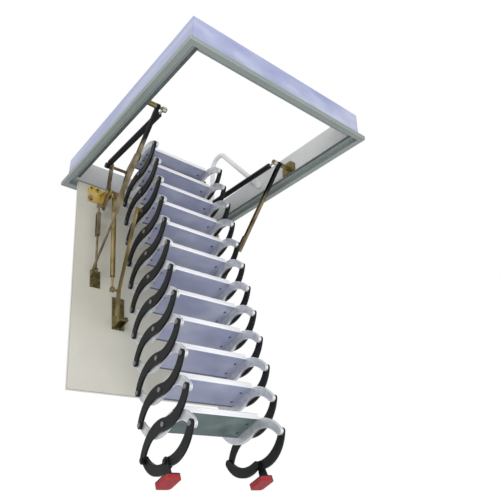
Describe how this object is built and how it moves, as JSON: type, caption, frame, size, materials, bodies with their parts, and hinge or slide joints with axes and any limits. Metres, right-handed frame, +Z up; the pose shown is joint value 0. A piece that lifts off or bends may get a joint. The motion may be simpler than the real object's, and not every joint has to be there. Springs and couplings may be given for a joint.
{
  "type": "attic ladder",
  "caption": "Ceiling frame with a swinging hatch that carries a scissor ladder with flat treads, feet, gas springs, stays and a handrail.",
  "frame": {"origin": "centre of the frame's outer plan size at the lower face of its lip, on the ceiling line", "axes": "+X along the treads, +Y to the hatch's hinges, +Z up into the attic"},
  "size_m": [0.73, 0.942, 1.4908],
  "materials": {
    "film_steel": "lavender protective film over light painted sheet",
    "flange_paint": "grey-green paint, cream edge",
    "hatch_paint": "cream paint, satin",
    "core_board": "insulating board",
    "seal_rubber": "matt black",
    "zinc_gold": "yellow passivated zinc",
    "white_tube": "white powder coat",
    "black_satin": "satin black",
    "cast_silver": "die-cast, fine grain",
    "tread_alu": "extruded, satin",
    "bright_rod": "bright rod",
    "pad_red": "dark red rubber"
  },
  "bodies": {
    "frame": {"frame_walls": "film_steel", "frame_flange": "flange_paint", "seal_strip": "seal_rubber", "frame_fittings": "zinc_gold", "handrail": "white_tube"},
    "hatch": {"hatch_shell": "hatch_paint", "hatch_core": "core_board", "hatch_cover": "hatch_paint", "hinge_leaves": "zinc_gold", "hatch_brackets": "zinc_gold", "cranks": "zinc_gold", "turnbuckles": "zinc_gold"},
    "carrier": {"ladder_carrier": "zinc_gold"},
    "black_01": {"black_arms_01": "black_satin"},
    "silver_01": {"silver_arms_01": "cast_silver", "tread_01": "tread_alu"},
    "black_02": {"black_arms_02": "black_satin"},
    "silver_02": {"silver_arms_02": "cast_silver", "tread_02": "tread_alu"},
    "black_03": {"black_arms_03": "black_satin"},
    "silver_03": {"silver_arms_03": "cast_silver", "tread_03": "tread_alu"},
    "black_04": {"black_arms_04": "black_satin"},
    "silver_04": {"silver_arms_04": "cast_silver", "tread_04": "tread_alu"},
    "black_05": {"black_arms_05": "black_satin"},
    "silver_05": {"silver_arms_05": "cast_silver", "tread_05": "tread_alu"},
    "black_06": {"black_arms_06": "black_satin"},
    "silver_06": {"silver_arms_06": "cast_silver", "tread_06": "tread_alu"},
    "black_07": {"black_arms_07": "black_satin"},
    "silver_07": {"silver_arms_07": "cast_silver", "tread_07": "tread_alu"},
    "black_08": {"black_arms_08": "black_satin"},
    "silver_08": {"silver_arms_08": "cast_silver", "tread_08": "tread_alu"},
    "black_09": {"black_arms_09": "black_satin"},
    "silver_09": {"silver_arms_09": "cast_silver", "tread_09": "tread_alu"},
    "black_10": {"black_arms_10": "black_satin"},
    "silver_10": {"silver_arms_10": "cast_silver", "tread_10": "tread_alu"},
    "black_11": {"black_arms_11": "black_satin"},
    "silver_11": {"silver_arms_11": "cast_silver", "tread_11": "tread_alu"},
    "black_12": {"black_arms_12": "black_satin"},
    "silver_12": {"silver_arms_12": "cast_silver", "tread_12": "tread_alu"},
    "front_link": {"foot_links_front": "black_satin"},
    "rear_link": {"foot_links_rear": "black_satin"},
    "feet": {"foot_brackets": "black_satin", "foot_pads": "pad_red"},
    "prop_arms": {"prop_arms": "zinc_gold"},
    "spring_tubes": {"spring_tubes": "zinc_gold"},
    "spring_rods": {"spring_rods": "bright_rod"},
    "gas_rods": {"gas_rods": "bright_rod"},
    "gas_cylinders": {"gas_cylinders": "black_satin"},
    "stay_channels": {"stay_channels": "zinc_gold"},
    "stay_bars": {"stay_bars": "zinc_gold"}
  },
  "joints": [
    {"name": "hatch_swing", "type": "hinge", "parent": "frame", "child": "hatch", "pos_m": [0, 0.418, 0.01], "axis": [1, 0, 0], "range_deg": [-30, 0]},
    {"name": "ladder_extend", "type": "hinge", "parent": "carrier", "child": "black_01", "pos_m": [0, 0.25, 0.098], "axis": [-1, 0, 0], "range_deg": [-12.4, 34.13]},
    {"name": "carrier_tilt", "type": "hinge", "parent": "hatch", "child": "carrier", "pos_m": [0, 0.315, 0.055], "axis": [-1, 0, 0], "range_deg": [-4.12, 11.07]},
    {"name": "silver_01_turn", "type": "hinge", "parent": "carrier", "child": "silver_01", "pos_m": [0, 0.25, 0.098], "axis": [1, 0, 0], "range_deg": [-12.87, 34.6]},
    {"name": "silver_02_turn", "type": "hinge", "parent": "black_01", "child": "silver_02", "pos_m": [0, 0.3545, 0.01332], "axis": [1, 0, 0], "range_deg": [-25.73, 69.19]},
    {"name": "black_02_turn", "type": "hinge", "parent": "silver_02", "child": "black_02", "pos_m": [0, 0.22045, 0.00225], "axis": [-1, 0, 0], "range_deg": [-25.73, 69.19]},
    {"name": "silver_03_turn", "type": "hinge", "parent": "black_02", "child": "silver_03", "pos_m": [0, 0.32495, -0.08243], "axis": [1, 0, 0], "range_deg": [-25.73, 69.19]},
    {"name": "black_03_turn", "type": "hinge", "parent": "silver_03", "child": "black_03", "pos_m": [0, 0.1909, -0.09349], "axis": [-1, 0, 0], "range_deg": [-25.73, 69.19]},
    {"name": "silver_04_turn", "type": "hinge", "parent": "black_03", "child": "silver_04", "pos_m": [0, 0.2954, -0.17818], "axis": [1, 0, 0], "range_deg": [-25.73, 69.19]},
    {"name": "black_04_turn", "type": "hinge", "parent": "silver_04", "child": "black_04", "pos_m": [0, 0.16136, -0.18924], "axis": [-1, 0, 0], "range_deg": [-25.73, 69.19]},
    {"name": "silver_05_turn", "type": "hinge", "parent": "black_04", "child": "silver_05", "pos_m": [0, 0.26586, -0.27392], "axis": [1, 0, 0], "range_deg": [-25.73, 69.19]},
    {"name": "black_05_turn", "type": "hinge", "parent": "silver_05", "child": "black_05", "pos_m": [0, 0.13181, -0.28499], "axis": [-1, 0, 0], "range_deg": [-25.73, 69.19]},
    {"name": "silver_06_turn", "type": "hinge", "parent": "black_05", "child": "silver_06", "pos_m": [0, 0.23631, -0.36967], "axis": [1, 0, 0], "range_deg": [-25.73, 69.19]},
    {"name": "black_06_turn", "type": "hinge", "parent": "silver_06", "child": "black_06", "pos_m": [0, 0.10226, -0.38074], "axis": [-1, 0, 0], "range_deg": [-25.73, 69.19]},
    {"name": "silver_07_turn", "type": "hinge", "parent": "black_06", "child": "silver_07", "pos_m": [0, 0.20676, -0.46542], "axis": [1, 0, 0], "range_deg": [-25.73, 69.19]},
    {"name": "black_07_turn", "type": "hinge", "parent": "silver_07", "child": "black_07", "pos_m": [0, 0.07272, -0.47649], "axis": [-1, 0, 0], "range_deg": [-25.73, 69.19]},
    {"name": "silver_08_turn", "type": "hinge", "parent": "black_07", "child": "silver_08", "pos_m": [0, 0.17721, -0.56117], "axis": [1, 0, 0], "range_deg": [-25.73, 69.19]},
    {"name": "black_08_turn", "type": "hinge", "parent": "silver_08", "child": "black_08", "pos_m": [0, 0.04317, -0.57223], "axis": [-1, 0, 0], "range_deg": [-25.73, 69.19]},
    {"name": "silver_09_turn", "type": "hinge", "parent": "black_08", "child": "silver_09", "pos_m": [0, 0.14767, -0.65691], "axis": [1, 0, 0], "range_deg": [-25.73, 69.19]},
    {"name": "black_09_turn", "type": "hinge", "parent": "silver_09", "child": "black_09", "pos_m": [0, 0.01362, -0.66798], "axis": [-1, 0, 0], "range_deg": [-25.73, 69.19]},
    {"name": "silver_10_turn", "type": "hinge", "parent": "black_09", "child": "silver_10", "pos_m": [0, 0.11812, -0.75266], "axis": [1, 0, 0], "range_deg": [-25.73, 69.19]},
    {"name": "black_10_turn", "type": "hinge", "parent": "silver_10", "child": "black_10", "pos_m": [0, -0.01593, -0.76373], "axis": [-1, 0, 0], "range_deg": [-25.73, 69.19]},
    {"name": "silver_11_turn", "type": "hinge", "parent": "black_10", "child": "silver_11", "pos_m": [0, 0.08857, -0.84841], "axis": [1, 0, 0], "range_deg": [-25.73, 69.19]},
    {"name": "black_11_turn", "type": "hinge", "parent": "silver_11", "child": "black_11", "pos_m": [0, -0.04547, -0.85948], "axis": [-1, 0, 0], "range_deg": [-25.73, 69.19]},
    {"name": "silver_12_turn", "type": "hinge", "parent": "black_11", "child": "silver_12", "pos_m": [0, 0.05902, -0.94416], "axis": [1, 0, 0], "range_deg": [-25.73, 69.19]},
    {"name": "black_12_turn", "type": "hinge", "parent": "silver_12", "child": "black_12", "pos_m": [0, -0.07502, -0.95522], "axis": [-1, 0, 0], "range_deg": [-25.73, 69.19]},
    {"name": "rear_link_turn", "type": "hinge", "parent": "black_12", "child": "rear_link", "pos_m": [0, 0.02948, -1.0399], "axis": [1, 0, 0], "range_deg": [-25.73, 69.19]},
    {"name": "front_link_turn", "type": "hinge", "parent": "silver_12", "child": "front_link", "pos_m": [0, -0.20906, -0.96629], "axis": [-1, 0, 0], "range_deg": [-25.73, 69.19]},
    {"name": "feet_tilt", "type": "hinge", "parent": "rear_link", "child": "feet", "pos_m": [0, -0.10457, -1.05097], "axis": [1, 0, 0], "range_deg": [-5, 18]},
    {"name": "prop_swing", "type": "hinge", "parent": "hatch", "child": "prop_arms", "pos_m": [0, 0.23938, -0.57957], "axis": [1, 0, 0], "range_deg": [-16.72, 44.97]},
    {"name": "spring_tube_swing", "type": "hinge", "parent": "hatch", "child": "spring_tubes", "pos_m": [0, 0.31804, -0.07377], "axis": [-1, 0, 0], "range_deg": [-3.4, 9.13]},
    {"name": "spring_rod_slide", "type": "slide", "parent": "spring_tubes", "child": "spring_rods", "axis": [0, -0.1779, -0.984], "range_m": [-0.01127, 0.03031]},
    {"name": "gas_rod_swing", "type": "hinge", "parent": "frame", "child": "gas_rods", "pos_m": [0, -0.118, 0.045], "axis": [-1, 0, 0], "range_deg": [-5.76, 0.06]},
    {"name": "gas_cylinder_slide", "type": "slide", "parent": "gas_rods", "child": "gas_cylinders", "axis": [0, 0.9997, 0.0231], "range_m": [-0.00037, 0.03744]},
    {"name": "stay_channel_swing", "type": "hinge", "parent": "frame", "child": "stay_channels", "pos_m": [0, -0.118, 0.045], "axis": [1, 0, 0], "range_deg": [-9.35, 0.09]},
    {"name": "stay_bar_slide", "type": "slide", "parent": "stay_channels", "child": "stay_bars", "axis": [0, 0.676, -0.7369], "range_m": [-0.21042, 0.00208]}
  ],
  "couplings": [
    {"joint": "carrier_tilt", "follows": "ladder_extend", "ratio": 0.32},
    {"joint": "silver_01_turn", "follows": "ladder_extend", "ratio": 1},
    {"joint": "silver_02_turn", "follows": "ladder_extend", "ratio": 2},
    {"joint": "black_02_turn", "follows": "ladder_extend", "ratio": 2},
    {"joint": "silver_03_turn", "follows": "ladder_extend", "ratio": 2},
    {"joint": "black_03_turn", "follows": "ladder_extend", "ratio": 2},
    {"joint": "silver_04_turn", "follows": "ladder_extend", "ratio": 2},
    {"joint": "black_04_turn", "follows": "ladder_extend", "ratio": 2},
    {"joint": "silver_05_turn", "follows": "ladder_extend", "ratio": 2},
    {"joint": "black_05_turn", "follows": "ladder_extend", "ratio": 2},
    {"joint": "silver_06_turn", "follows": "ladder_extend", "ratio": 2},
    {"joint": "black_06_turn", "follows": "ladder_extend", "ratio": 2},
    {"joint": "silver_07_turn", "follows": "ladder_extend", "ratio": 2},
    {"joint": "black_07_turn", "follows": "ladder_extend", "ratio": 2},
    {"joint": "silver_08_turn", "follows": "ladder_extend", "ratio": 2},
    {"joint": "black_08_turn", "follows": "ladder_extend", "ratio": 2},
    {"joint": "silver_09_turn", "follows": "ladder_extend", "ratio": 2},
    {"joint": "black_09_turn", "follows": "ladder_extend", "ratio": 2},
    {"joint": "silver_10_turn", "follows": "ladder_extend", "ratio": 2},
    {"joint": "black_10_turn", "follows": "ladder_extend", "ratio": 2},
    {"joint": "silver_11_turn", "follows": "ladder_extend", "ratio": 2},
    {"joint": "black_11_turn", "follows": "ladder_extend", "ratio": 2},
    {"joint": "silver_12_turn", "follows": "ladder_extend", "ratio": 2},
    {"joint": "black_12_turn", "follows": "ladder_extend", "ratio": 2},
    {"joint": "rear_link_turn", "follows": "ladder_extend", "ratio": 2},
    {"joint": "front_link_turn", "follows": "ladder_extend", "ratio": 2},
    {"joint": "prop_swing", "follows": "ladder_extend", "ratio": 1.3},
    {"joint": "spring_tube_swing", "follows": "ladder_extend", "ratio": 0.264},
    {"joint": "spring_rod_slide", "follows": "ladder_extend", "m_per_rad": 0.0502},
    {"joint": "gas_rod_swing", "follows": "hatch_swing", "ratio": 0.1901},
    {"joint": "gas_cylinder_slide", "follows": "hatch_swing", "m_per_rad": -0.0708},
    {"joint": "stay_channel_swing", "follows": "hatch_swing", "ratio": 0.3085},
    {"joint": "stay_bar_slide", "follows": "hatch_swing", "m_per_rad": 0.3979}
  ]
}
